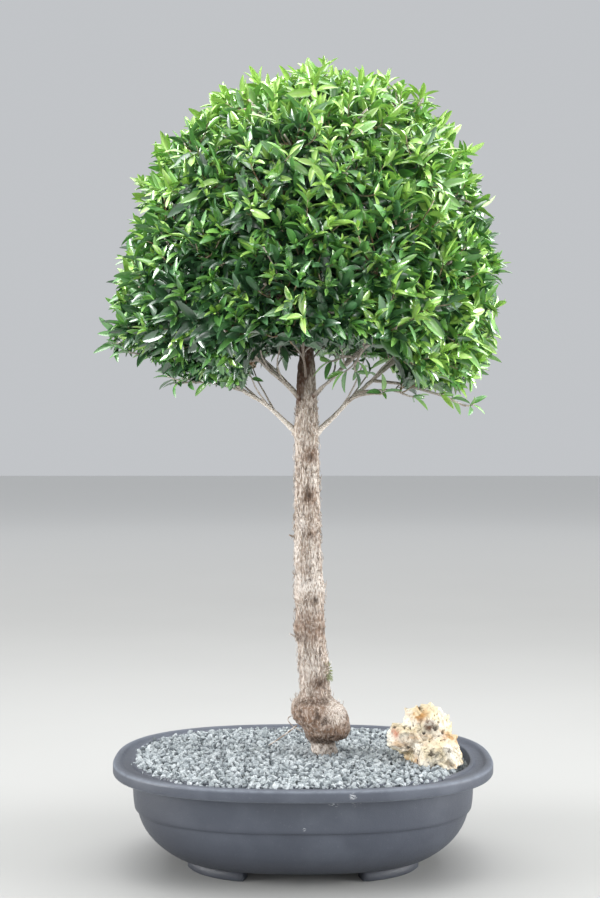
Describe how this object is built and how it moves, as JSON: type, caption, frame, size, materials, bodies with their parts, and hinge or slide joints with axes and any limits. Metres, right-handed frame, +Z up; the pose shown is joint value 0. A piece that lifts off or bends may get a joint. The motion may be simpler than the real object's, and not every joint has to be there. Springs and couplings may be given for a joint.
{
  "type": "potted brush cherry bonsai",
  "caption": "Brush cherry bonsai grown as a standard: bare trunk on a burl, clipped dome of small leaves, in an oval footed pot topped with gravel and an accent stone.",
  "frame": {"origin": "on the standing surface, under the middle of the pot", "axes": "+Z up, +X along the pot's long side, -Y the front, with the stone at the right"},
  "size_m": [0.3723, 0.3841, 0.7503],
  "materials": {
    "pot": "satin",
    "gravel": "rough",
    "stone": "rough",
    "bark": "rough",
    "twig": "matte",
    "foliage": "glossy"
  },
  "bodies": {
    "root": {"pot": "pot", "gravel_bed": "gravel", "accent_stone": "stone", "trunk": "bark", "bough_skirt_1": "twig", "foliage_skirt_1": "foliage", "bough_skirt_2": "twig", "foliage_skirt_2": "foliage", "bough_skirt_3": "twig", "foliage_skirt_3": "foliage", "bough_skirt_4": "twig", "foliage_skirt_4": "foliage", "bough_skirt_5": "twig", "foliage_skirt_5": "foliage", "bough_skirt_6": "twig", "foliage_skirt_6": "foliage", "bough_skirt_7": "twig", "foliage_skirt_7": "foliage", "bough_skirt_8": "twig", "foliage_skirt_8": "foliage", "bough_shoulder_1": "twig", "foliage_shoulder_1": "foliage", "bough_shoulder_2": "twig", "foliage_shoulder_2": "foliage", "bough_shoulder_3": "twig", "foliage_shoulder_3": "foliage", "bough_shoulder_4": "twig", "foliage_shoulder_4": "foliage", "bough_shoulder_5": "twig", "foliage_shoulder_5": "foliage", "foliage_top": "foliage"}
  },
  "joints": []
}
